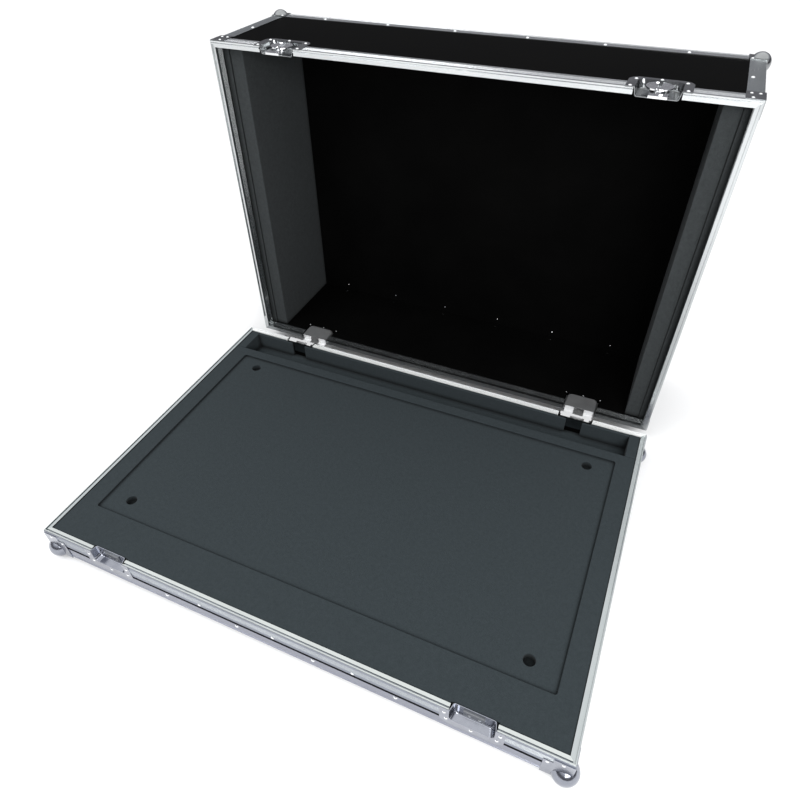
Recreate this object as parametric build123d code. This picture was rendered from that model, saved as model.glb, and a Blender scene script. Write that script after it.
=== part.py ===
from build123d import *
import math
import os

os.makedirs("parts", exist_ok=True)

# ---------------------------------------------------------------- driving dimensions (mm)
W = 1110.0            # length over the extrusions
D = 772.0             # depth over the extrusions
RZ = 69.5             # base rim plane above the floor panel's underside
T = 1.5               # extrusion sheet
HL = 286.0            # lid depth from the rim plane
GAP = 0.2             # gap between the two rims when closed
PANEL = 9.0           # laminate panel
LEG = 30.0            # double angle leg
RIML = 33.0           # rim extrusion outer leg
RIMH = 6.0            # rim head height
RIMW = 12.0           # rim width
RIMI = 26.0           # rim inner leg
HINGE_Y = 8.0         # pivot behind the back face
HINGE_V = -54.0       # pivot below the rim plane
LATCH_X = 386.0
HINGE_X = 387.0
TURN_V = 24.0         # latch turn axis above the rim plane
HANDLE_V = 150.0      # handle centre above the rim plane
DISH = 1.2            # dish sheet
REC = 5.5             # depth of the recess in the foam bed
ORIGIN_Z = RZ - 2.0 - REC   # the frame's origin lies on the recess floor; heights below count from the floor panel's underside
HW, HD = W / 2, D / 2
PY, PZ = HD + HINGE_Y, RZ + HINGE_V
RIVETS = (-413.0, -248.0, -83.0, 83.0, 248.0, 413.0)


# ---------------------------------------------------------------- helpers
def box(x0, x1, y0, y1, z0, z1):
    return Pos((x0 + x1) / 2, (y0 + y1) / 2, (z0 + z1) / 2) * Box(x1 - x0, y1 - y0, z1 - z0)


def add(items):
    out = items[0]
    for it in items[1:]:
        out = out + it
    return out


def solids_of(items):
    s = []
    for it in items:
        s += list(it.solids())
    return s


def save(name, items):
    if not isinstance(items, (list, tuple)):
        items = [items]
    s = [Pos(0, 0, -ORIGIN_Z) * k for k in solids_of(items)]
    shape = s[0] if len(s) == 1 else Compound(children=s)
    shape.label = name
    export_step(shape, f"parts/{name}.step")
    print(name, len(s), round(sum(k.volume for k in s) / 1000.0, 1), "cm3")


def opened(shape):
    return Pos(0, PY, PZ) * Rot(-90, 0, 0) * Pos(0, -PY, -PZ) * shape


def save_open(name, items):
    if not isinstance(items, (list, tuple)):
        items = [items]
    save(name, [opened(s) for s in solids_of(items)])


def poly(pts):
    return make_face(Polyline(*pts, close=True))


def ribs_u(v0, v1, pitch=2.6, deep=0.35, wide=1.1):
    """points down an outer face u=0 from v0 to v1 with shallow ribs"""
    pts = []
    v = v0
    while v + wide < v1:
        pts += [(0, v), (deep, v + 0.2), (deep, v + wide - 0.2), (0, v + wide)]
        v += pitch
    return pts


def bar_x(pts, length, place):
    """profile given in (u, v); place maps (u, v) to (y, z); extruded along x, centred"""
    f = make_face(Polyline(*[(0, *place(u, v)) for u, v in pts], close=True))
    s = extrude(f, amount=length, dir=(1, 0, 0))
    return Pos(-length / 2, 0, 0) * s


def bar_y(pts, length, place):
    """place maps (u, v) to (x, z)"""
    f = make_face(Polyline(*[(place(u, v)[0], 0, place(u, v)[1]) for u, v in pts], close=True))
    s = extrude(f, amount=length, dir=(0, 1, 0))
    return Pos(0, -length / 2, 0) * s


def wedge_front(sign, z0, z1, k=40.0):
    """plan trapezoid of the front (sign -1) or back (sign 1) bar of a mitred frame"""
    p = [(-HW - 2, sign * (HD + 2)), (HW + 2, sign * (HD + 2)), (HW - k, sign * (HD - k)), (-HW + k, sign * (HD - k))]
    return Pos(0, 0, z0) * extrude(make_face(Polyline(*p, close=True)), amount=z1 - z0, dir=(0, 0, 1))


def wedge_side(sign, z0, z1, k=40.0):
    p = [(sign * (HW + 2), -HD - 2), (sign * (HW + 2), HD + 2), (sign * (HW - k), HD - k), (sign * (HW - k), -HD + k)]
    return Pos(0, 0, z0) * extrude(make_face(Polyline(*p, close=True)), amount=z1 - z0, dir=(0, 0, 1))


# profiles -------------------------------------------------------
R = 1.2
CORNER = [(0, R * 2), (R * 0.27, R * 0.98), (R * 0.98, R * 0.27), (R * 2, 0)]
# angle extrusion over the panel edges
ANGLE_FULL = (
    [(LEG, 0), (LEG, T), (T, T), (T, LEG), (0, LEG)]
    + list(reversed(ribs_u(4.0, 12.0))) + CORNER + [(v, u) for u, v in ribs_u(4.0, 12.0)]
)


def rim_profile(kind):
    """u inward, v away from the rim plane; kind 'groove', 'tongue' or 'plain'"""
    top = []
    if kind == "groove":
        top = [(0.8, 0), (2.6, 0), (2.6, 5.0), (5.8, 5.0), (5.8, 0), (RIMW, 0)]
    elif kind == "tongue":
        top = [(0.8, 0), (3.0, 0), (3.4, -3.0), (5.0, -3.0), (5.4, 0), (RIMW, 0)]
    else:
        top = [(0.8, 0), (RIMW, 0)]
    inner = [(RIMW, 8.0)]
    v = 8.0
    while v + 3.0 < RIMI - 1.0:
        inner += [(RIMW, v), (RIMW - 0.35, v + 0.2), (RIMW - 0.35, v + 0.9), (RIMW, v + 1.1)]
        v += 2.6
    outer = list(reversed(ribs_u(9.0, 24.0, pitch=3.2)))
    pts = top + inner + [(RIMW, RIMI), (10.5, RIMI), (10.5, RIMH), (T, RIMH), (T, RIML), (0, RIML)] + outer + [(0, 0.8)]
    clean = []
    for q in pts:
        if not clean or abs(q[0] - clean[-1][0]) + abs(q[1] - clean[-1][1]) > 1e-6:
            clean.append(q)
    return clean


def frame_long(pts, sign, zmap, z0, z1):
    b = bar_x(pts, 2 * HW, lambda u, v: (sign * (HD - u), zmap(v)))
    return b & wedge_front(sign, z0, z1)


def frame_short(pts, sign, zmap, z0, z1):
    b = bar_y(pts, 2 * HD, lambda u, v: (sign * (HW - u), zmap(v)))
    return b & wedge_side(sign, z0, z1)


def dome(x, y, z, n, r=4.0, h=1.8):
    """rivet head standing on a surface, n the outward direction"""
    rr = (r * r + h * h) / (2 * h)
    lat = math.degrees(math.asin((rr - h) / rr))
    cap = Sphere(rr, arc_size1=lat, arc_size2=90, align=None)
    pl = Plane(origin=(x, y, z), z_dir=n)
    return pl * Pos(0, 0, -(rr - h)) * cap


def cyl(p0, p1, r):
    a, b = Vector(*p0), Vector(*p1)
    d = b - a
    pl = Plane(origin=(a.X, a.Y, a.Z), z_dir=(d.X, d.Y, d.Z))
    return extrude(pl * Circle(r), amount=d.length)


def zb(v):           # base: v below the rim plane
    return RZ - v


def zl(v):           # lid (closed): v above its own rim plane
    return RZ + GAP + v


BB = -T              # underside of the bottom extrusions
TOPZ = RZ + HL       # top of the closed lid


# ---------------------------------------------------------------- dish (flange + tapered pocket)
def dish(xc, y_out, sign, z_edge, up, flange_h, pocket_h, rf, wide=113.0, w0=81.0, w1=74.0, deep=15.0, rp=12.0):
    """half dish cut off at the rim plane. sign: -1 front, 1 back. up: 1 in the lid, -1 in the base"""
    def pl(u):
        # plane parallel to the wall at depth u, local x along +x, local y along z
        return Plane(origin=(xc, y_out - sign * u, z_edge), x_dir=(1, 0, 0), z_dir=(0, -1, 0))
    fl = extrude(pl(0) * RectangleRounded(wide, 2 * flange_h, rf), amount=DISH if sign < 0 else -DISH)

    def rect(u, inset):
        k = u / deep
        w = w0 + (w1 - w0) * k - 2 * inset
        h = 2 * (pocket_h - 3.0 * k) - 2 * inset
        return pl(u) * RectangleRounded(w, h, rp - inset)
    outer = loft([rect(0, 0), rect(deep, 0)])
    inner = loft([rect(-3.0, DISH), rect(deep - DISH, DISH)])
    pick = -1 if sign < 0 else 0
    outer = fillet(outer.faces().sort_by(Axis.Y)[pick].edges(), 4.5)
    inner = fillet(inner.faces().sort_by(Axis.Y)[pick].edges(), 3.4)
    body = fl + outer - inner
    z0, z1 = (z_edge, z_edge + 2 * flange_h) if up > 0 else (z_edge - 2 * flange_h, z_edge)
    return body & box(xc - 100, xc + 100, y_out - 40, y_out + 40, z0, z1)


def notch(xc, y_out, sign, z0, z1, half=41.5, deep=15.2):
    ya, yb = sorted((y_out + sign * 2, y_out - sign * deep))
    return box(xc - half, xc + half, ya, yb, z0, z1)


# ================================================================ BASE
floor_panel = box(-HW + T, HW - T, -HD + T, HD - T, 0, PANEL)
save("base_floor_panel", floor_panel)

front = box(-HW + T, HW - T, -HD + T, -HD + 10.5, PANEL, RZ - RIMH)
back = box(-HW + T, HW - T, HD - 10.5, HD - T, PANEL, RZ - RIMH)
for s in (-1, 1):
    front -= notch(s * LATCH_X, -HD, -1, RZ - 37.2, RZ + 1)
    back -= notch(s * HINGE_X, HD, 1, RZ - 37.2, RZ + 1)
save("base_front_panel", front)
save("base_back_panel", back)
for s, n in ((-1, "left"), (1, "right")):
    xa, xb = sorted((s * (HW - T), s * (HW - 10.5)))
    save(f"base_{n}_panel", box(xa, xb, -HD + 10.5, HD - 10.5, PANEL, RZ - RIMH))

zbot = lambda v: BB + v
ANGLE_BASE = ANGLE_FULL
save("base_bottom_edges_long", [frame_long(ANGLE_BASE, s, zbot, BB - 1, BB + 31) for s in (-1, 1)])
save("base_bottom_edges_short", [frame_short(ANGLE_BASE, s, zbot, BB - 1, BB + 31) for s in (-1, 1)])

rim_f = frame_long(rim_profile("groove"), -1, zb, RZ - 40, RZ + 1)
rim_b = frame_long(rim_profile("groove"), 1, zb, RZ - 40, RZ + 1)
for s in (-1, 1):
    rim_f -= notch(s * LATCH_X, -HD, -1, RZ - 41, RZ + 1)
    rim_b -= notch(s * HINGE_X, HD, 1, RZ - 41, RZ + 1)
save("base_rim_front", rim_f)
save("base_rim_back", rim_b)
save("base_rim_sides", [frame_short(rim_profile("groove"), s, zb, RZ - 40, RZ + 1) for s in (-1, 1)])


# ---------------------------------------------------------------- ball corners
def ball_corner(sx, sy, z_face, up, r, c, leg=42.0, t=1.4):
    """pressed corner: hollow ball with three legs lying on the outer faces"""
    cx, cy, cz = sx * (HW - c), sy * (HD - c), z_face + up * c
    ball = Pos(cx, cy, cz) * Sphere(r)
    # legs
    x0, x1 = sorted((sx * (HW + t), sx * (HW - leg)))
    y0, y1 = sorted((sy * (HD + t), sy * (HD - leg)))
    z0, z1 = sorted((z_face - up * t, z_face + up * leg))
    hx = sorted((sx * HW, sx * (HW + t)))
    hy = sorted((sy * HD, sy * (HD + t)))
    hz = sorted((z_face, z_face - up * t))
    w = 31.0
    lx = sorted((sx * (HW + t), sx * (HW - w)))
    ly = sorted((sy * (HD + t), sy * (HD - w)))
    lz = sorted((z_face - up * t, z_face + up * w))
    lo = leg
    ax = sorted((sx * (HW + t), sx * (HW - lo)))
    ay = sorted((sy * (HD + t), sy * (HD - lo)))
    az = sorted((z_face - up * t, z_face + up * lo))
    plates = [
        box(*hx, *ly, *az), box(*hx, *ay, *lz),      # on the end face
        box(*lx, *hy, *az), box(*ax, *hy, *lz),      # on the front or back face
        box(*lx, *ay, *hz), box(*ax, *ly, *hz),      # on the top or underside
    ]
    legs = add(plates)
    # inside of the case stays clear
    case = box(*sorted((sx * HW, sx * (HW - 90))), *sorted((sy * HD, sy * (HD - 90))), *sorted((z_face, z_face + up * 90)))
    return (ball + legs) - case


def base_corner(sx, sy, t=1.4):
    c = ball_corner(sx, sy, BB, 1, 24.0, 10.0, leg=34.0)
    y0, y1 = sorted((sy * HD, sy * (HD + t)))
    x0, x1 = sorted((sx * HW, sx * (HW + t)))
    lo = BB - t
    for ln, top in ((49.0, 50.0), (33.0, 62.0)):
        xa, xb = sorted((sx * (HW + t), sx * (HW - ln)))
        ya, yb = sorted((sy * (HD + t), sy * (HD - ln)))
        c += box(xa, xb, y0, y1, BB - t, top) + box(x0, x1, ya, yb, BB - t, top)
    return c


save("base_ball_corners", [base_corner(sx, sy) for sx in (-1, 1) for sy in (-1, 1)])


def brace(sx, sy, z_edge, up, t=1.2):
    """flat corner plate folded round the vertical corner at the rim"""
    z0, z1 = sorted((z_edge + up * 4.0, z_edge + up * 45.0))
    fx = sorted((sx * (HW + t), sx * (HW - 31)))
    fy = sorted((sy * HD, sy * (HD + t)))
    gx = sorted((sx * HW, sx * (HW + t)))
    gy = sorted((sy * (HD + t), sy * (HD - 31)))
    p = box(*fx, *fy, z0, z1) + box(*gx, *gy, z0, z1)
    return p


# dishes
for s, n in ((-1, "left"), (1, "right")):
    save(f"latch_lower_dish_{n}", dish(s * LATCH_X, -HD, -1, RZ, -1, 50.0, 34.0, 16.0))

strikes = []
for s in (-1, 1):
    x = s * LATCH_X
    st = box(x - 19, x + 19, -HD + 12.6, -HD + 13.75, RZ - 26.2, RZ - 5.6)
    st += box(x - 19, x + 19, -HD + 10.6, -HD + 13.75, RZ - 7.6, RZ - 5.6)
    st += dome(x - 9, -HD + 12.6, RZ - 22.4, (0, -1, 0), 3.2, 1.2)
    st += dome(x + 9, -HD + 12.6, RZ - 22.4, (0, -1, 0), 3.2, 1.2)
    strikes.append(st)
save("latch_strikes", strikes)

# hinge lower dishes: flange plate behind the leaf, open pocket at the rim
low = []
for s in (-1, 1):
    low.append(dish(s * HINGE_X, HD, 1, RZ, -1, 48.0, 36.0, 16.0))
save("hinge_lower_dishes", low)

# hinge pin, base leaf and lid arm (base leaf: plate on the flange, two knuckles)
yb = HD
leaves, pins, arms = [], [], []
for s in (-1, 1):
    x = s * HINGE_X
    py, pz = PY, PZ
    pin = cyl((x - 46.5, py, pz), (x + 46.5, py, pz), 3.0)
    pin += cyl((x - 48.5, py, pz), (x - 44.5, py, pz), 4.5) + cyl((x + 44.5, py, pz), (x + 48.5, py, pz), 4.5)
    pins.append(pin)
    plate = box(x - 44, x + 44, yb + 1.25, yb + 2.6, pz - 10, pz + 22)
    plate += box(x - 37.5, x + 37.5, yb + 1.25, yb + 2.6, pz + 22, RZ - 1.0)
    plate += box(x - 37.5, x + 37.5, yb - 4.0, yb + 2.6, RZ - 2.4, RZ - 1.0)
    plate += box(x - 35.8, x - 13.0, yb - 12.5, yb - 4.0, RZ - 2.4, RZ - 1.0)
    plate += box(x + 21.0, x + 33.0, yb - 12.5, yb - 4.0, RZ - 2.4, RZ - 1.0)
    kn = cyl((x - 12.7, py, pz), (x + 12.7, py, pz), 5.0)
    kn += cyl((x - 44, py, pz), (x - 35.8, py, pz), 5.0)
    kn += cyl((x + 35.8, py, pz), (x + 44, py, pz), 5.0)
    for a, b in ((-12.7, 12.7), (-44, -35.8), (35.8, 44)):
        kn += box(x + a, x + b, yb + 2.5, py, pz - 4.2, pz + 0.6)
    leaf = plate + kn - cyl((x - 60, py, pz), (x + 60, py, pz), 3.0)
    # the pin heads stand clear beyond the outer knuckles
    leaf -= cyl((x - 60, py, pz), (x - 44.5, py, pz), 5.4) + cyl((x + 44.5, py, pz), (x + 60, py, pz), 5.4)
    leaf += dome(x - 40, yb + 2.6, pz + 15, (0, 1, 0), 3.6, 1.2) + dome(x + 40, yb + 2.6, pz + 15, (0, 1, 0), 3.6, 1.2)
    leaves.append(leaf)
    # lid arm, closed pose
    arm = None
    for a, b in ((-35.5, -13.0), (13.0, 35.5)):
        k = cyl((x + a, py, pz), (x + b, py, pz), 5.0)
        k += box(x + a, x + b, yb + 3.0, yb + 5.5, pz, RZ + 5.5)
        # heel that meets the leaf when the lid is open
        k += box(x + a, x + b, py + 2.0, py + 6.0, pz - 5.1, pz - 2.0)
        k += box(x + a, x + b, yb - 11.3, yb + 5.5, RZ + 3.0, RZ + 5.5)
        k += box(x + max(a, -32.0), x + min(b, 32.0), yb - 13.75, yb - 11.3, RZ + 3.0, RZ + 41.0)
        arm = k if arm is None else arm + k
    arm += box(x - 32.0, x + 32.0, yb - 13.75, yb - 11.3, RZ + 12.0, RZ + 41.0)
    arm -= cyl((x - 60, py, pz), (x + 60, py, pz), 3.06)
    arm += box(x - 13.0, x + 13.0, yb - 13.75, yb - 11.3, RZ + 8.0, RZ + 12.0)
    for dx, dv in ((0, 34.0), (-9, 18.0), (9, 18.0)):
        arm += dome(x + dx, yb - 11.3, RZ + dv, (0, 1, 0), 3.6, 1.2)
    arms.append(arm)
save("hinge_base_leaves", leaves)
save("hinge_pins", pins)

# ---------------------------------------------------------------- foam of the base
FZ0 = PANEL + 0.1
FTOP = RZ - 2.0
TR_Y0 = 298.0
TR_Y1 = HD - 20.5
bed = box(-HW + 12.2, HW - 12.2, -HD + 12.2, TR_Y0, FZ0, FTOP)
bed -= Pos(1, -9, FTOP - REC) * extrude(RectangleRounded(1002, 564, 5), amount=REC + 1)
for sx in (-1, 1):
    for sy in (-248.0, 240.0):
        bed -= Pos(sx * 444.0, sy, FTOP - REC - 14.0) * Cylinder(11.5, 30.0, align=(Align.CENTER, Align.CENTER, Align.MIN))
# relief for the latch dishes
for s in (-1, 1):
    bed -= box(s * LATCH_X - 42, s * LATCH_X + 42, -HD + 10, -HD + 15.6, RZ - 38, RZ + 1)
save("foam_bed", bed)
# trough: floor strip, back liner in three lengths, two end blocks
tr = [box(-HW + 12.2, HW - 12.2, TR_Y0 + 0.2, HD - 12.2, FZ0, RZ - 45.0)]
for a, b in ((-518.0, -406.5), (-367.5, 367.5), (406.5, 518.0)):
    strip = box(a, b, HD - 20.5, HD - 12.4, RZ - 44.8, RZ - 2.5)
    for s in (-1, 1):
        strip -= box(s * HINGE_X - 42, s * HINGE_X + 42, HD - 15.4, HD, RZ - 38, RZ)
    tr.append(strip)
tr.append(box(-HW + 12.2, -518.2, TR_Y0 + 0.2, HD - 12.2, RZ - 44.8, RZ - 2.0))
tr.append(box(518.2, HW - 12.2, TR_Y0 + 0.2, HD - 12.2, RZ - 44.8, RZ - 2.0))
save("foam_trough_liner", tr)

# ---------------------------------------------------------------- base rivets
rv = []
for x in RIVETS:
    for s in (-1, 1):
        if abs(x) < 400:
            rv.append(dome(x, s * HD, BB + 23.0, (0, s, 0)))
        rv.append(dome(x, s * (HD - 21.0), BB, (0, 0, -1)))
for y in (-250.0, -83.0, 83.0, 250.0):
    for s in (-1, 1):
        rv.append(dome(s * HW, y, BB + 23.0, (s, 0, 0)))
        rv.append(dome(s * (HW - 21.0), y, BB, (0, 0, -1)))
        rv.append(dome(s * HW, y, RZ - 28.0, (s, 0, 0), 3.4, 1.3))
for s in (-1, 1):
    for x in (-165.0, 0.0, 165.0):
        rv.append(dome(x, s * HD, RZ - 28.0, (0, s, 0), 3.4, 1.3))
    x = s * LATCH_X
    for dx, dv in ((0, -41.0), (-44.5, -34.5), (44.5, -34.5), (-48.5, -13.0), (48.5, -13.0)):
        rv.append(dome(x + dx, -HD - DISH, RZ + dv, (0, -1, 0), 3.3, 1.5))
    x = s * HINGE_X
    for dx in (-49.5, 49.5):
        rv.append(dome(x + dx, HD + DISH, RZ - 14.0, (0, 1, 0), 3.6, 1.5))
    for sy in (-1, 1):
        # ball corner and brace rivets
        for d, h in ((41.5, 43.5), (17.0, 54.5)):
            rv.append(dome(s * (HW - d), sy * (HD + 1.4), h, (0, sy, 0), 3.2, 1.3))
            rv.append(dome(s * (HW + 1.4), sy * (HD - d), h, (s, 0, 0), 3.2, 1.3))
save("base_rivets", rv)

# ================================================================ LID (drawn closed, saved open)
top = box(-HW + T, HW - T, -HD + T, HD - T, TOPZ - 10.5, TOPZ - T)
save_open("lid_top_panel", top)
LP0 = zl(RIMH)
LP1 = TOPZ - 10.5
lf = box(-HW + T, HW - T, -HD + T, -HD + 10.5, LP0, LP1)
lb = box(-HW + T, HW - T, HD - 10.5, HD - T, LP0, LP1)
for s in (-1, 1):
    lf -= notch(s * LATCH_X, -HD, -1, RZ - 1, zl(53.2))
    lb -= notch(s * HINGE_X, HD, 1, RZ - 1, zl(53.2))
save_open("lid_front_panel", lf)
save_open("lid_back_panel", lb)
HZC = RZ + HANDLE_V
for s, n in ((-1, "left"), (1, "right")):
    xa, xb = sorted((s * (HW - T), s * (HW - 10.5)))
    p = box(xa, xb, -HD + 10.5, HD - 10.5, LP0, LP1)
    p -= Pos(s * HW, 0, HZC) * Rot(0, 90, 0) * Box(84, 136, 40)
    save_open(f"lid_{n}_panel", p)

ztop = lambda v: TOPZ - v
save_open("lid_top_edges_long", [frame_long(ANGLE_FULL, s, ztop, TOPZ - 31, TOPZ + 1) for s in (-1, 1)])
save_open("lid_top_edges_short", [frame_short(ANGLE_FULL, s, ztop, TOPZ - 31, TOPZ + 1) for s in (-1, 1)])


def post(sx, sy):
    def face(pts):
        return make_face(Polyline(*[(sx * (HW - u), sy * (HD - v), 0) for u, v in pts], close=True))
    legs = [(LEG, 0), (LEG, T), (T, T), (T, LEG), (0, LEG)] + list(reversed(ribs_u(4.0, 12.0))) + CORNER + [(v, u) for u, v in ribs_u(4.0, 12.0)]
    return Pos(0, 0, zl(RIML)) * extrude(face(legs), amount=TOPZ - LEG - zl(RIML), dir=(0, 0, 1))


save_open("lid_corner_posts", [post(sx, sy) for sx in (-1, 1) for sy in (-1, 1)])

rl_f = frame_long(rim_profile("tongue"), -1, zl, RZ - 5, RZ + 40)
rl_b = frame_long(rim_profile("plain"), 1, zl, RZ - 5, RZ + 40)
for s in (-1, 1):
    rl_f -= notch(s * LATCH_X, -HD, -1, RZ - 5, RZ + 40)
    rl_b -= notch(s * HINGE_X, HD, 1, RZ - 5, RZ + 40)
save_open("lid_rim_front", rl_f)
save_open("lid_rim_back", rl_b)
rs = []
for s in (-1, 1):
    b = frame_short(rim_profile("tongue"), s, zl, RZ - 5, RZ + 40)
    b -= box(*sorted((s * (HW + 1), s * (HW - 20))), HD - 45, HD + 1, RZ - 5, zl(0))
    rs.append(b)
save_open("lid_rim_sides", rs)

save_open("lid_ball_corners", [ball_corner(sx, sy, TOPZ, -1, 20.0, 10.0, leg=33.0) for sx in (-1, 1) for sy in (-1, 1)])
save_open("lid_rim_braces", [brace(sx, sy, zl(0), 1) for sx in (-1, 1) for sy in (-1, 1)])

for s, n in ((-1, "left"), (1, "right")):
    save_open(f"latch_upper_dish_{n}", dish(s * LATCH_X, -HD, -1, zl(0), 1, 62.0, 52.0, 20.0))
save_open("hinge_upper_dishes", [dish(s * HINGE_X, HD, 1, zl(0), 1, 62.0, 52.0, 20.0) for s in (-1, 1)])
save_open("hinge_arms", arms)

# cam plates with three rivets
cams = []
for s in (-1, 1):
    x = s * LATCH_X
    c = box(x - 27, x + 27, -HD + 12.4, -HD + 13.75, RZ + 8, RZ + 46)
    for dx, dv in ((-22.5, 39.0), (0, 41.5), (22.5, 39.0)):
        c += dome(x + dx, -HD + 12.4, RZ + dv, (0, -1, 0), 3.2, 1.2)
    c += cyl((x, -HD + 12.5, RZ + TURN_V), (x, -HD + 3.2, RZ + TURN_V), 2.4)
    cams.append(c)
save_open("latch_cam_plates", cams)

# ---------------------------------------------------------------- latch moving parts
def half_disc(x, sgn):
    """folding wing, flat: x is the turn axis, sgn the side it lies on"""
    u0, u1 = 1.0, 2.6
    z = RZ + TURN_V
    disc = cyl((x, -HD + u1, z), (x, -HD + u0, z), 23.5)
    a, b = sorted((x + sgn * 3.6, x + sgn * 30))
    w = disc & box(a, b, -HD, -HD + 5, z - 30, z + 30)
    # raised edge for the fingers
    ring = cyl((x, -HD + u0, z), (x, -HD + 0.2, z), 23.5) - cyl((x, -HD + u0 + 1, z), (x, -HD - 1, z), 21.6)
    ring = ring & box(a, b, -HD - 1, -HD + 5, z - 30, z + 30)
    # barrel on the fold axis
    bar = cyl((x + sgn * 3.4, -HD + 1.8, z - 8.0), (x + sgn * 3.4, -HD + 1.8, z + 8.0), 1.1)
    hole = cyl((x + sgn * 3.4, -HD + 1.8, z - 30), (x + sgn * 3.4, -HD + 1.8, z + 30), 0.62)
    return (w + ring + bar) - hole


for s, n in ((-1, "left"), (1, "right")):
    x = s * LATCH_X
    z = RZ + TURN_V
    # carrier with the eccentric behind it, bored for the fixed stud
    car = cyl((x, -HD + 4.4, z), (x, -HD + 3.1, z), 12.0)
    car += cyl((x, -HD + 12.2, z - 5.0), (x, -HD + 4.0, z - 5.0), 8.0)
    car -= cyl((x, -HD + 14, z), (x, -HD + 1.0, z), 2.45)
    # fold pins held in end lugs beside the wing barrels
    for q in (-1, 1):
        fx = x + q * 3.4
        car += cyl((fx, -HD + 1.8, z - 11.0), (fx, -HD + 1.8, z + 11.0), 0.56)
        for zz in (-1, 1):
            car += box(fx - 1.2, fx + 1.2, -HD + 0.9, -HD + 3.3, *sorted((z + zz * 8.4, z + zz * 10.8)))
    save_open(f"latch_{n}_turn", car)
    for sg, m in ((-s, "inner"), (s, "outer")):
        wg = half_disc(x, sg)
        # clear the lugs of the carrier
        for zz in (-1, 1):
            wg -= box(x + sg * 3.4 - 1.9, x + sg * 3.4 + 1.9, -HD + 0.0, -HD + 3.4, *sorted((z + zz * 8.1, z + zz * 11.3)))
        save_open(f"latch_{n}_wing_{m}", wg)
    # hook plate, released; it slides along its own length
    hk = box(x - 13.5, x + 18.5, -HD + 4.9, -HD + 6.5, RZ - 20, RZ + 33)
    hk -= box(x - 8.6, x + 13.6, -HD + 4, -HD + 8, z - 14.4, z + 4.4)
    hk += box(x - 13.5, x + 18.5, -HD + 4.9, -HD + 9.0, RZ - 20, RZ - 18)
    save_open(f"latch_{n}_hook", hk)

# ---------------------------------------------------------------- handles on the lid ends
for s, n in ((-1, "left"), (1, "right")):
    xo = s * HW
    def pl(u):
        return Plane(origin=(xo - s * u, 0, HZC), x_dir=(0, 1, 0), z_dir=(1, 0, 0))
    fl = extrude(pl(0) * RectangleRounded(172, 112, 12), amount=s * DISH)
    out = loft([pl(0) * RectangleRounded(132, 80, 10), pl(16) * RectangleRounded(126, 74, 8)])
    inn = loft([pl(-3) * RectangleRounded(129.6, 77.6, 8.8), pl(16 - DISH) * RectangleRounded(123.6, 71.6, 6.8)])
    dsh = fl + out - inn
    # two lugs carrying the bail
    hz = HZC + 26.0
    for sy in (-1, 1):
        lug = box(*sorted((xo - s * 4.0, xo - s * 15.0)), *sorted((sy * 44.0, sy * 47.0)), hz - 5, hz + 5)
        dsh += lug
    dsh -= cyl((xo - s * 8.5, -70, hz), (xo - s * 8.5, 70, hz), 3.1)
    save_open(f"handle_dish_{n}", dsh)
    # bail: two eyes on the lugs, two arms down, grip across
    hx = xo - s * 8.5
    bail = cyl((hx, -52.0, hz), (hx, -36.0, hz), 3.0) + cyl((hx, 36.0, hz), (hx, 52.0, hz), 3.0)
    for sy in (-1, 1):
        bail += cyl((hx, sy * 40.0, hz), (hx, sy * 40.0, hz - 48.0), 3.6)
        bail += Pos(hx, sy * 40.0, hz) * Sphere(3.6)
        bail += Pos(hx, sy * 40.0, hz - 48.0) * Sphere(3.6)
    bail += cyl((hx, -40.0, hz - 48.0), (hx, 40.0, hz - 48.0), 3.6)
    grip = cyl((hx, -32.0, hz - 48.0), (hx, 32.0, hz - 48.0), 6.0) - cyl((hx, -41.0, hz - 48.0), (hx, 41.0, hz - 48.0), 3.6)
    save_open(f"handle_{n}_bail", bail)
    save_open(f"handle_{n}_grip", grip)

# ---------------------------------------------------------------- lid foams
for s, n in ((-1, "left"), (1, "right")):
    a = box(*sorted((s * (HW - 10.7), s * (HW - 25.0))), -HD + 10.7, HD - 10.7, zl(27.0), TOPZ - 10.7)
    b = box(*sorted((s * (HW - 25.2), s * (HW - 59.0))), -HD + 10.7, HD - 10.7, zl(30.0), TOPZ - 10.7)
    cut = box(*sorted((s * HW, s * (HW - 18.0))), -68, 68, HZC - 42, HZC + 42)
    save_open(f"lid_{n}_foam_outer", a - cut)
    save_open(f"lid_{n}_foam_inner", b)

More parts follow.
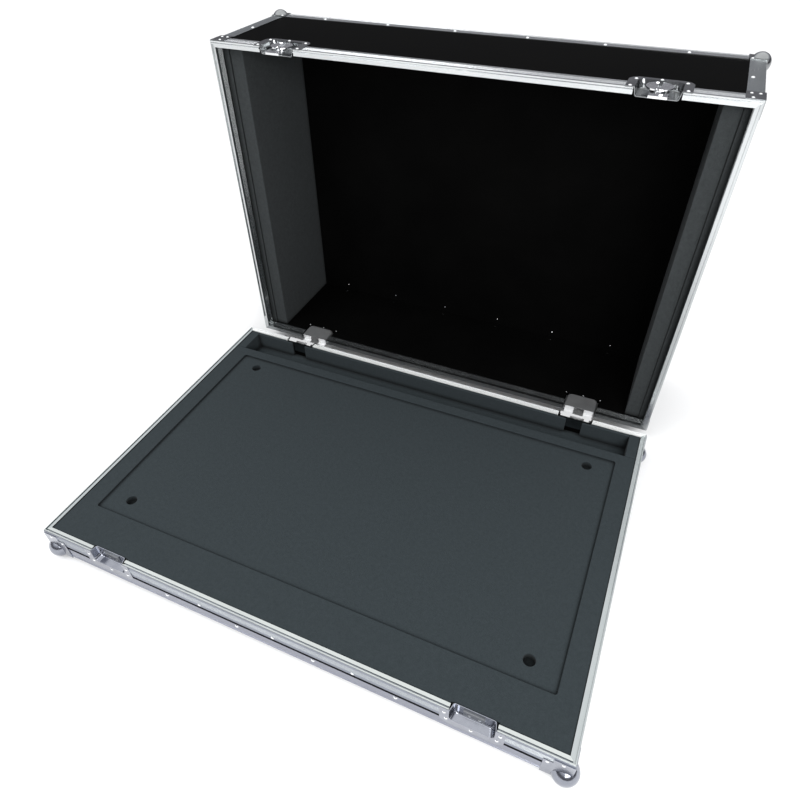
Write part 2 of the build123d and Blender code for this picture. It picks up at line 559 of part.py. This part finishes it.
# ---------------------------------------------------------------- lid rivets
rv = []
for x in RIVETS:
    for s in (-1, 1):
        rv.append(dome(x, s * HD, TOPZ - 21.0, (0, s, 0)))
        rv.append(dome(x, s * (HD - 21.0), TOPZ, (0, 0, 1)))
        if s > 0:
            # tails on the inner side
            rv.append(dome(x, HD - 10.5, TOPZ - 25.0, (0, -1, 0), 2.6, 0.9))
            rv.append(dome(x, HD - 25.0, TOPZ - 10.5, (0, 0, -1), 2.6, 0.9))
for y in (-250.0, -83.0, 83.0, 250.0):
    for s in (-1, 1):
        rv.append(dome(s * HW, y, TOPZ - 21.0, (s, 0, 0)))
        rv.append(dome(s * (HW - 21.0), y, TOPZ, (0, 0, 1)))
        rv.append(dome(s * HW, y, zl(28.0), (s, 0, 0), 3.4, 1.3))
for s in (-1, 1):
    for sy in (-1, 1):
        rv.append(dome(s * 533.0, sy * HD, zl(135.0), (0, sy, 0)))
        rv.append(dome(s * HW, sy * (HD - 21.0), zl(135.0), (s, 0, 0)))
        rv.append(dome(s * 533.0, sy * (HD + 1.2), zl(36.0), (0, sy, 0), 3.2, 1.3))
        rv.append(dome(s * 547.0, sy * (HD + 1.2), zl(36.0), (0, sy, 0), 3.2, 1.3))
        rv.append(dome(s * 536.0, sy * (HD + 1.2), zl(12.0), (0, sy, 0), 3.2, 1.3))
        rv.append(dome(s * (HW + 1.2), sy * (HD - 22.0), zl(36.0), (s, 0, 0), 3.2, 1.3))
        rv.append(dome(s * (HW + 1.2), sy * (HD - 9.0), zl(36.0), (s, 0, 0), 3.2, 1.3))
        rv.append(dome(s * 529.0, sy * (HD + 1.4), TOPZ - 27.0, (0, sy, 0), 3.2, 1.3))
        rv.append(dome(s * (HW + 1.4), sy * (HD - 26.0), TOPZ - 27.0, (s, 0, 0), 3.2, 1.3))
        rv.append(dome(s * 529.0, sy * (HD - 26.0), TOPZ + 1.4, (0, 0, 1), 3.2, 1.3))
    for xc, yy, sg in ((s * LATCH_X, -HD - DISH, -1), (s * HINGE_X, HD + DISH, 1)):
        for dx, dv in ((0, 56.0), (-44.0, 50.0), (44.0, 50.0), (-48.5, 7.0), (48.5, 7.0)):
            rv.append(dome(xc + dx, yy, zl(dv), (0, sg, 0), 3.6, 1.5))
    # tails of the hinge dish rivets on the inner side of the back wall
    for dx, dv in ((0, 58.0), (-44.0, 56.5), (44.0, 56.5)):
        rv.append(dome(s * HINGE_X + dx, HD - 10.5, zl(dv), (0, -1, 0), 2.6, 0.9))
    for dy in (-76.0, 0.0, 76.0):
        for dz in (-48.0, 48.0):
            rv.append(dome(s * (HW + DISH), dy, HZC + dz, (s, 0, 0), 3.6, 1.5))
save_open("lid_rivets", rv)
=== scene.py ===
import math
import random
import bpy
import bmesh
from mathutils import Matrix, Vector


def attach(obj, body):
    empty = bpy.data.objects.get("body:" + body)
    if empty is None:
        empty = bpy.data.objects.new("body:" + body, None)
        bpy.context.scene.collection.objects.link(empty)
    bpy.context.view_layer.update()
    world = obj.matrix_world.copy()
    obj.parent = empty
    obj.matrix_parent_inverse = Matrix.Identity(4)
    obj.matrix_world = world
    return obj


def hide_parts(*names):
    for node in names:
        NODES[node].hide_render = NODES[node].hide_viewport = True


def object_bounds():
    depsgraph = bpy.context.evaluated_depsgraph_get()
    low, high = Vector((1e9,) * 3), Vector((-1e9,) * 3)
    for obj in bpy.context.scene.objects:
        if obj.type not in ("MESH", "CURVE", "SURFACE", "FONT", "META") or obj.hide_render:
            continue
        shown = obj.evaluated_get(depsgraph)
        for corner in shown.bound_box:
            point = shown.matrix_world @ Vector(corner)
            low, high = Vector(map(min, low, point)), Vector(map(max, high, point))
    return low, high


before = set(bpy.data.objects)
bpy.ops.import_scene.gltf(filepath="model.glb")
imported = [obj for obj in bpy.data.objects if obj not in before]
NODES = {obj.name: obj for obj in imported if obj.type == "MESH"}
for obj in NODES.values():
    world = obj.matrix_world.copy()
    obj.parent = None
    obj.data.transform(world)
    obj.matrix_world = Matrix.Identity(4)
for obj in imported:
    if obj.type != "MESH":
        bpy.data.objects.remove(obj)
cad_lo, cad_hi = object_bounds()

random.seed(11)
bpy.context.scene.view_settings.view_transform = "Standard"

# ---------------------------------------------------------------- material helpers


def new_mat(name):
    m = bpy.data.materials.new(name)
    m.use_nodes = True
    nt = m.node_tree
    for n in list(nt.nodes):
        nt.nodes.remove(n)
    out = nt.nodes.new("ShaderNodeOutputMaterial")
    bs = nt.nodes.new("ShaderNodeBsdfPrincipled")
    nt.links.new(bs.outputs["BSDF"], out.inputs["Surface"])
    return m, nt, bs


def coords(nt, scale=(1, 1, 1)):
    tc = nt.nodes.new("ShaderNodeTexCoord")
    mp = nt.nodes.new("ShaderNodeMapping")
    mp.inputs["Scale"].default_value = scale
    nt.links.new(tc.outputs["Object"], mp.inputs["Vector"])
    return mp.outputs["Vector"]


def noise(nt, vec, scale, detail=3.0, rough=0.55):
    n = nt.nodes.new("ShaderNodeTexNoise")
    n.inputs["Scale"].default_value = scale
    n.inputs["Detail"].default_value = detail
    n.inputs["Roughness"].default_value = rough
    nt.links.new(vec, n.inputs["Vector"])
    return n.outputs["Fac"]


def ramp(nt, fac, stops):
    r = nt.nodes.new("ShaderNodeValToRGB")
    el = r.color_ramp.elements
    while len(el) > 1:
        el.remove(el[-1])
    el[0].position, el[0].color = stops[0][0], (*stops[0][1], 1)
    for p, c in stops[1:]:
        e = el.new(p)
        e.color = (*c, 1)
    nt.links.new(fac, r.inputs["Fac"])
    return r.outputs["Color"]


def span(nt, fac, a, b, lo=0.0, hi=1.0):
    r = nt.nodes.new("ShaderNodeMapRange")
    r.inputs["From Min"].default_value = lo
    r.inputs["From Max"].default_value = hi
    r.inputs["To Min"].default_value = a
    r.inputs["To Max"].default_value = b
    nt.links.new(fac, r.inputs["Value"])
    return r.outputs["Result"]


def bump(nt, bs, height, strength, distance, under=None):
    b = nt.nodes.new("ShaderNodeBump")
    b.inputs["Strength"].default_value = strength
    b.inputs["Distance"].default_value = distance
    nt.links.new(height, b.inputs["Height"])
    if under is not None:
        nt.links.new(under, b.inputs["Normal"])
    nt.links.new(b.outputs["Normal"], bs.inputs["Normal"])
    return b.outputs["Normal"]


def metal(name, dark, light, r0, r1, stretch=(1, 1, 1), grain=260.0, strength=0.12, blot=9.0):
    m, nt, bs = new_mat(name)
    v = coords(nt, stretch)
    v2 = coords(nt)
    fine = noise(nt, v, grain, 4.0)
    big = noise(nt, v2, blot, 4.0, 0.6)
    col = ramp(nt, big, [(0.25, dark), (0.75, light)])
    nt.links.new(col, bs.inputs["Base Color"])
    bs.inputs["Metallic"].default_value = 1.0
    mix = nt.nodes.new("ShaderNodeMath")
    mix.operation = "MULTIPLY"
    nt.links.new(fine, mix.inputs[0])
    nt.links.new(big, mix.inputs[1])
    nt.links.new(span(nt, mix.outputs[0], r0, r1, 0.1, 0.45), bs.inputs["Roughness"])
    bump(nt, bs, fine, strength, 0.00008)
    return m


def brushed(name, dark, light, r0, r1, stretch, metallic=1.0):
    m = metal(name, dark, light, r0, r1, stretch, 900.0, 0.01, 4.0)
    m.node_tree.nodes["Principled BSDF"].inputs["Metallic"].default_value = metallic
    return m


def painted_front_shade(m, tint):
    """painted shade: the faces towards the front (-Y) take a cooler, darker tone than the tops, standing in for the
    bluish reflection they catch
    """
    nt = m.node_tree
    bs = nt.nodes["Principled BSDF"]
    src = bs.inputs["Base Color"].links[0].from_socket
    g = nt.nodes.new("ShaderNodeNewGeometry")
    sp = nt.nodes.new("ShaderNodeSeparateXYZ")
    nt.links.new(g.outputs["Normal"], sp.inputs[0])
    mx = nt.nodes.new("ShaderNodeMixRGB")
    mx.blend_type = "MULTIPLY"
    nt.links.new(span(nt, sp.outputs["Y"], 1.0, 0.0, -0.9, -0.4), mx.inputs["Fac"])
    nt.links.new(src, mx.inputs["Color1"])
    mx.inputs["Color2"].default_value = (*tint, 1)
    nt.links.new(mx.outputs["Color"], bs.inputs["Base Color"])
    return m


ALU_X = brushed("extrusion along x", (0.58, 0.60, 0.61), (0.68, 0.70, 0.70), 0.23, 0.28, (0.02, 1, 1))
# painted shade: the front rim's faces towards -Y are darkened and tinted bluish
ALU_RIM = painted_front_shade(brushed("front rim extrusion with painted front shade", (0.47, 0.50, 0.49), (0.60, 0.63, 0.62), 0.36, 0.42, (0.02, 1, 1)), (0.42, 0.43, 0.52))
ALU_Y = brushed("extrusion along y", (0.36, 0.39, 0.40), (0.46, 0.49, 0.49), 0.23, 0.28, (1, 0.02, 1))
ALU_Z = brushed("extrusion along z", (0.46, 0.48, 0.49), (0.56, 0.58, 0.58), 0.23, 0.28, (1, 1, 0.02))
# painted shade: a darker, bluish copy of the extrusion for the long bottom edges seen from the front, standing in for
# the reflection they catch
ALU_LOW_PAINTED_SHADE = brushed("lower extrusion along x, painted shade", (0.21, 0.22, 0.27), (0.26, 0.275, 0.325), 0.23, 0.29, (0.02, 1, 1))
# painted highlight: a near-white, part-metallic copy of the extrusion for the base's back rim, standing in for the
# bright band of light along it
ALU_BACK_PAINTED_HIGHLIGHT = brushed("extrusion at the back, painted highlight", (0.90, 0.92, 0.92), (0.96, 0.97, 0.96), 0.32, 0.42, (0.02, 1, 1), 0.25)
ALU_SHADE = brushed("lid extrusion at the back", (0.26, 0.27, 0.28), (0.36, 0.38, 0.38), 0.24, 0.30, (0.02, 1, 1), 0.98)
# painted highlight: near-white hinge leaves, arms and pins, standing in for the light on their upward faces
TAB_PAINTED_HIGHLIGHT = brushed("hinge tabs, painted highlight", (0.92, 0.93, 0.94), (0.96, 0.96, 0.96), 0.25, 0.4, (1, 1, 1), 0.2)
ZINC_LOW = metal("pressed zinc plate of the base", (0.20, 0.21, 0.245), (0.33, 0.345, 0.385), 0.13, 0.26, (1, 1, 1), 420.0, 0.05, 22.0)
# painted highlight: a lighter copy of the zinc for the upper hinge dishes, standing in for the sheen of light on them
ZINC_PLATE_PAINTED_HIGHLIGHT = metal("zinc plate at the hinges, painted highlight", (0.50, 0.51, 0.52), (0.66, 0.67, 0.68), 0.30, 0.42, (1, 1, 1), 420.0, 0.05, 22.0)
ZINC_PLATE_PAINTED_HIGHLIGHT.node_tree.nodes["Principled BSDF"].inputs["Metallic"].default_value = 0.85
ZINC = metal("pressed zinc plate", (0.19, 0.20, 0.205), (0.34, 0.35, 0.355), 0.12, 0.24, (1, 1, 1), 420.0, 0.05, 22.0)
ZINC_DARK = metal("dull zinc plate", (0.16, 0.17, 0.18), (0.30, 0.31, 0.32), 0.26, 0.40, (1, 1, 1), 420.0, 0.12, 22.0)
CHROME = metal("bright plated steel", (0.78, 0.79, 0.80), (0.90, 0.91, 0.92), 0.10, 0.22, (1, 1, 1), 600.0, 0.05, 30.0)


def laminate():
    m, nt, bs = new_mat("black laminate")
    v = coords(nt)
    n1 = noise(nt, v, 1400.0, 2.0)
    n2 = noise(nt, v, 6.0, 5.0, 0.6)
    nt.links.new(ramp(nt, n2, [(0.3, (0.0018, 0.0018, 0.0018)), (0.75, (0.0030, 0.0030, 0.0029))]), bs.inputs["Base Color"])
    nt.links.new(span(nt, n2, 0.42, 0.56), bs.inputs["Roughness"])
    bs.inputs["Specular IOR Level"].default_value = 0.006
    bump(nt, bs, n1, 0.25, 0.00012)
    return m


def foam_mat(name, a, b):
    m, nt, bs = new_mat(name)
    v = coords(nt)
    cells = nt.nodes.new("ShaderNodeTexVoronoi")
    cells.inputs["Scale"].default_value = 620.0
    nt.links.new(v, cells.inputs["Vector"])
    mott = noise(nt, v, 130.0, 6.0, 0.7)
    fine = noise(nt, v, 900.0, 3.0, 0.7)
    col = ramp(nt, mott, [(0.28, a), (0.72, b)])
    mix = nt.nodes.new("ShaderNodeMixRGB")
    mix.blend_type = "MULTIPLY"
    mix.inputs["Fac"].default_value = 0.55
    nt.links.new(col, mix.inputs["Color1"])
    nt.links.new(ramp(nt, cells.outputs["Distance"], [(0.0, (0.45, 0.45, 0.45)), (0.55, (1.0, 1.0, 1.0))]), mix.inputs["Color2"])
    # painted shade: darker in the inner corners and along the cut edges, from ambient occlusion
    ao = nt.nodes.new("ShaderNodeAmbientOcclusion")
    ao.inputs["Distance"].default_value = 0.016
    painted_shade_mix = nt.nodes.new("ShaderNodeMixRGB")
    painted_shade_mix.blend_type = "MULTIPLY"
    painted_shade_mix.inputs["Fac"].default_value = 1.0
    nt.links.new(mix.outputs["Color"], painted_shade_mix.inputs["Color1"])
    nt.links.new(ramp(nt, ao.outputs["AO"], [(0.45, (0.22, 0.22, 0.22)), (0.92, (1.0, 1.0, 1.0))]), painted_shade_mix.inputs["Color2"])
    nt.links.new(painted_shade_mix.outputs["Color"], bs.inputs["Base Color"])
    nt.links.new(span(nt, fine, 0.88, 1.0), bs.inputs["Roughness"])
    bs.inputs["Specular IOR Level"].default_value = 0.12
    bs.inputs["Sheen Weight"].default_value = 0.03
    bs.inputs["Sheen Roughness"].default_value = 0.6
    b1 = nt.nodes.new("ShaderNodeBump")
    b1.inputs["Strength"].default_value = 0.5
    b1.inputs["Distance"].default_value = 0.0006
    nt.links.new(cells.outputs["Distance"], b1.inputs["Height"])
    bump(nt, bs, fine, 0.35, 0.0004, b1.outputs["Normal"])
    return m


def rubber():
    m, nt, bs = new_mat("grip rubber")
    v = coords(nt)
    n = noise(nt, v, 700.0)
    nt.links.new(ramp(nt, n, [(0.3, (0.012, 0.012, 0.012)), (0.7, (0.022, 0.022, 0.021))]), bs.inputs["Base Color"])
    nt.links.new(span(nt, n, 0.55, 0.75), bs.inputs["Roughness"])
    bump(nt, bs, n, 0.2, 0.0001)
    return m


LAM = laminate()
FOAM = foam_mat("grey foam", (0.0245, 0.032, 0.0355), (0.031, 0.0395, 0.044))
FOAM_LID = foam_mat("grey foam of the lid", (0.030, 0.034, 0.035), (0.044, 0.049, 0.051))
RUB = rubber()


def paint(names, mat):
    for n in names:
        o = NODES[n]
        o.data.materials.clear()
        o.data.materials.append(mat)


def prefix(*p):
    return [n for n in NODES if n.startswith(p)]


for n in NODES:
    if n.endswith("_panel"):
        paint([n], LAM)
paint(["lid_top_edges_long", "lid_rim_front"], ALU_X)
paint(["base_rim_front"], ALU_RIM)
paint(["base_bottom_edges_long"], ALU_LOW_PAINTED_SHADE)
paint(["base_rim_back"], ALU_BACK_PAINTED_HIGHLIGHT)
paint(["lid_rim_back"], ALU_SHADE)
paint(["base_bottom_edges_short", "base_rim_sides", "lid_corner_posts"], ALU_Y)
paint(["lid_top_edges_short", "lid_rim_sides"], ALU_Z)
paint(["base_ball_corners", "latch_lower_dish_left", "latch_lower_dish_right"], ZINC_LOW)
paint(["lid_ball_corners", "lid_rim_braces"], ZINC)
paint(["latch_upper_dish_left", "latch_upper_dish_right"], ZINC)
paint(["handle_dish_left", "handle_dish_right", "hinge_lower_dishes"], ZINC)
paint(["hinge_upper_dishes"], ZINC_PLATE_PAINTED_HIGHLIGHT)
paint(["hinge_base_leaves", "hinge_arms"], TAB_PAINTED_HIGHLIGHT)
paint(["latch_strikes", "latch_cam_plates"], ZINC_DARK)
paint(["hinge_pins"], TAB_PAINTED_HIGHLIGHT)
paint(["base_rivets", "lid_rivets"], CHROME)
paint([n for n in NODES if n.startswith("latch_") and ("turn" in n or "wing" in n or "hook" in n)], CHROME)
paint(["handle_left_bail", "handle_right_bail"], CHROME)
paint(["handle_left_grip", "handle_right_grip"], RUB)

# small edge rounding on the hard pieces
for n, o in NODES.items():
    if "foam" in n or "rivets" in n:
        continue
    w = 0.0003
    if n.endswith("_panel"):
        w = 0.0004
    elif "edges" in n or "rim" in n or "posts" in n:
        w = 0.00018
    b = o.modifiers.new("edge", "BEVEL")
    b.width = w
    b.segments = 2
    b.limit_method = "ANGLE"
    b.angle_limit = math.radians(35)
    b.harden_normals = False

# ---------------------------------------------------------------- foam pieces


def foam_piece(name, node, body, mat, round_mm=1.6, keep=None):
    """cut foam with slightly rounded edges in the place of its CAD solid"""
    src = NODES[node].data
    bm = bmesh.new()
    bm.from_mesh(src)
    bmesh.ops.remove_doubles(bm, verts=bm.verts, dist=1e-6)
    bmesh.ops.dissolve_limit(bm, angle_limit=math.radians(1.0), verts=bm.verts, edges=bm.edges)
    sharp = [e for e in bm.edges if len(e.link_faces) == 2 and e.calc_face_angle(0.0) > math.radians(40)]
    bmesh.ops.bevel(bm, geom=sharp, offset=round_mm / 1000.0, segments=3, profile=0.5, affect="EDGES", clamp_overlap=True)
    bmesh.ops.triangulate(bm, faces=bm.faces)
    for f in bm.faces:
        f.smooth = False
    me = bpy.data.meshes.new(name)
    bm.to_mesh(me)
    bm.free()
    o = bpy.data.objects.new(name, me)
    bpy.context.scene.collection.objects.link(o)
    o.data.materials.append(mat)
    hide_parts(node)
    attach(o, body)
    return o


foam_piece("foam_bed_cut", "foam_bed", "base", FOAM, 0.8)
foam_piece("trough_liner_cut", "foam_trough_liner", "base", FOAM, 1.2)
for side in ("left", "right"):
    foam_piece(f"lid_foam_outer_{side}", f"lid_{side}_foam_outer", "lid", FOAM_LID, 1.4)
    foam_piece(f"lid_foam_inner_{side}", f"lid_{side}_foam_inner", "lid", FOAM_LID, 1.6)

# ---------------------------------------------------------------- stage, light, camera
low = cad_lo[2]
me = bpy.data.meshes.new("floor")
S = 30.0
me.from_pydata([(-S, -S, low), (S, -S, low), (S, S, low), (-S, S, low)], [], [(0, 1, 2, 3)])
floor = bpy.data.objects.new("floor", me)
bpy.context.scene.collection.objects.link(floor)
fm, fnt, fbs = new_mat("pale floor")
fv = coords(fnt)
fnt.links.new(ramp(fnt, noise(fnt, fv, 3.0), [(0.3, (0.90, 0.90, 0.90)), (0.7, (0.92, 0.92, 0.92))]), fbs.inputs["Base Color"])
fbs.inputs["Roughness"].default_value = 0.9
fbs.inputs["Specular IOR Level"].default_value = 0.1
floor.data.materials.append(fm)

world = bpy.context.scene.world or bpy.data.worlds.new("studio")
bpy.context.scene.world = world
world.use_nodes = True
wt = world.node_tree
bg = wt.nodes.get("Background")
# one large soft box overhead, darker walls round the studio
tc = wt.nodes.new("ShaderNodeTexCoord")
sep = wt.nodes.new("ShaderNodeSeparateXYZ")
wt.links.new(tc.outputs["Generated"], sep.inputs["Vector"])
wr = wt.nodes.new("ShaderNodeValToRGB")
el = wr.color_ramp.elements
el[0].position, el[0].color = 0.0, (0.10, 0.10, 0.11, 1)
el[1].position, el[1].color = 1.0, (1.0, 1.0, 1.0, 1)
for p_, c_ in ((0.20, (0.13, 0.13, 0.14)), (0.36, (0.20, 0.20, 0.22)), (0.58, (0.72, 0.73, 0.76)), (0.70, (1.0, 1.0, 1.0))):
    e_ = el.new(p_)
    e_.color = (*c_, 1)
wt.links.new(sep.outputs["Z"], wr.inputs["Fac"])
wt.links.new(wr.outputs["Color"], bg.inputs["Color"])
bg.inputs["Strength"].default_value = 1.5


def area(name, loc, target, size, power):
    d = bpy.data.lights.new(name, "AREA")
    d.shape = "RECTANGLE"
    d.size, d.size_y = size
    d.energy = power
    o = bpy.data.objects.new(name, d)
    o.location = loc
    o.rotation_euler = (Vector(target) - Vector(loc)).to_track_quat("-Z", "Y").to_euler()
    bpy.context.scene.collection.objects.link(o)
    return o


area("key", (-1.4, -1.6, 2.6), (0.0, 0.0, 0.0), (1.2, 1.0), 18.0)
area("fill", (1.5, -2.2, 1.7), (0.0, 0.2, 0.35), (1.6, 1.2), 60.0)

cam_data = bpy.data.cameras.new("camera")
cam_data.sensor_width = 36.0
cam_data.lens = 28.066
cam_data.clip_end = 100.0
cam = bpy.data.objects.new("camera", cam_data)
RX = Vector((0.9144606, 0.4044391, -0.0138142))
RY = Vector((0.2658354, -0.6261070, -0.7330222))
RZ_ = Vector((-0.3051120, 0.6666476, -0.6800644))
mw = Matrix.Identity(4)
for i in range(3):
    mw[i][0] = RX[i]
    mw[i][1] = -RY[i]
    mw[i][2] = -RZ_[i]
mw[0][3], mw[1][3], mw[2][3] = 0.448986, -0.782041, 1.078384
cam.matrix_world = mw
bpy.context.scene.collection.objects.link(cam)
bpy.context.scene.camera = cam
